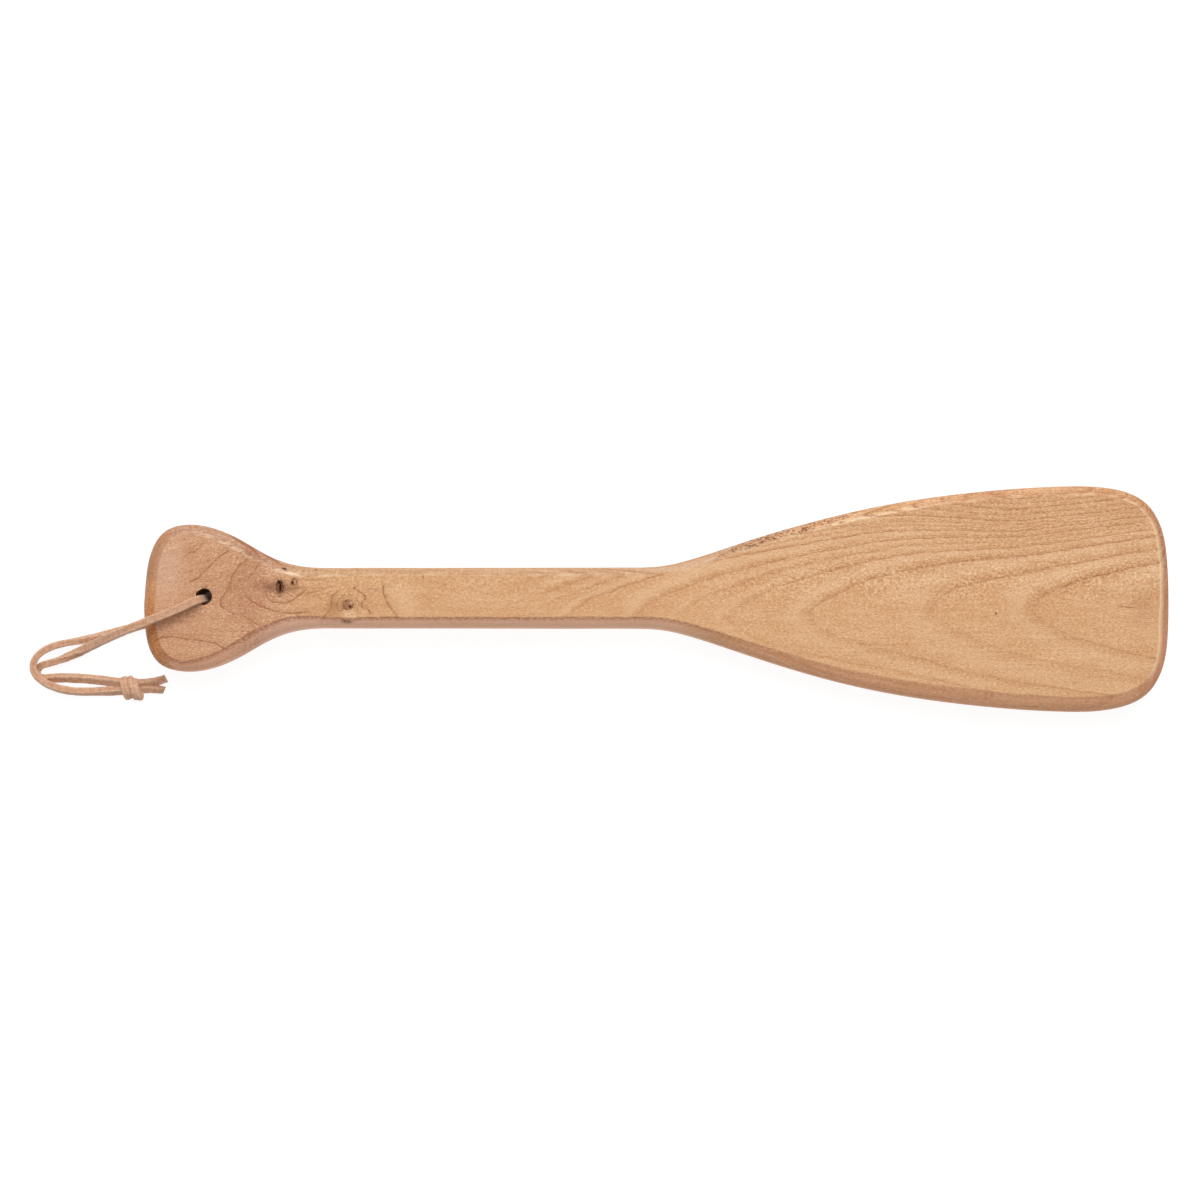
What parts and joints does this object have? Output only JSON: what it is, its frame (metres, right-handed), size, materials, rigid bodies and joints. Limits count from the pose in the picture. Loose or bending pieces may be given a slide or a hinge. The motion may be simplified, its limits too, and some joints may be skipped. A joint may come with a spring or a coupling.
{
  "type": "single blade paddle",
  "caption": "Short one-piece wooden single blade paddle with a palm grip, a flat shaft, a squared blade and a knotted leather lanyard through a hole in the grip.",
  "frame": {"origin": "middle of the wooden board: half way along it, across it and through its thickness", "axes": "+X along the paddle from the grip to the blade, +Z out of the upper face, +Y across the board to complete the right-handed frame"},
  "size_m": [0.5712, 0.1126, 0.0288],
  "materials": {
    "wood": "bare close-grained hardwood, sanded by hand",
    "leather": "undyed suede-like thong, cut square"
  },
  "bodies": {
    "paddle": {"paddle_body": "wood"},
    "lanyard": {"lace_upper_strand": "leather", "lace_lower_strand": "leather", "lace_knot": "leather", "lace_tail_long": "leather", "lace_tail_short": "leather"}
  },
  "joints": [
    {"name": "lanyard_swing", "type": "hinge", "parent": "paddle", "child": "lanyard", "pos_m": [-0.224, 0, 0], "axis": [0, 0, 1], "range_deg": [-150, 105]}
  ]
}
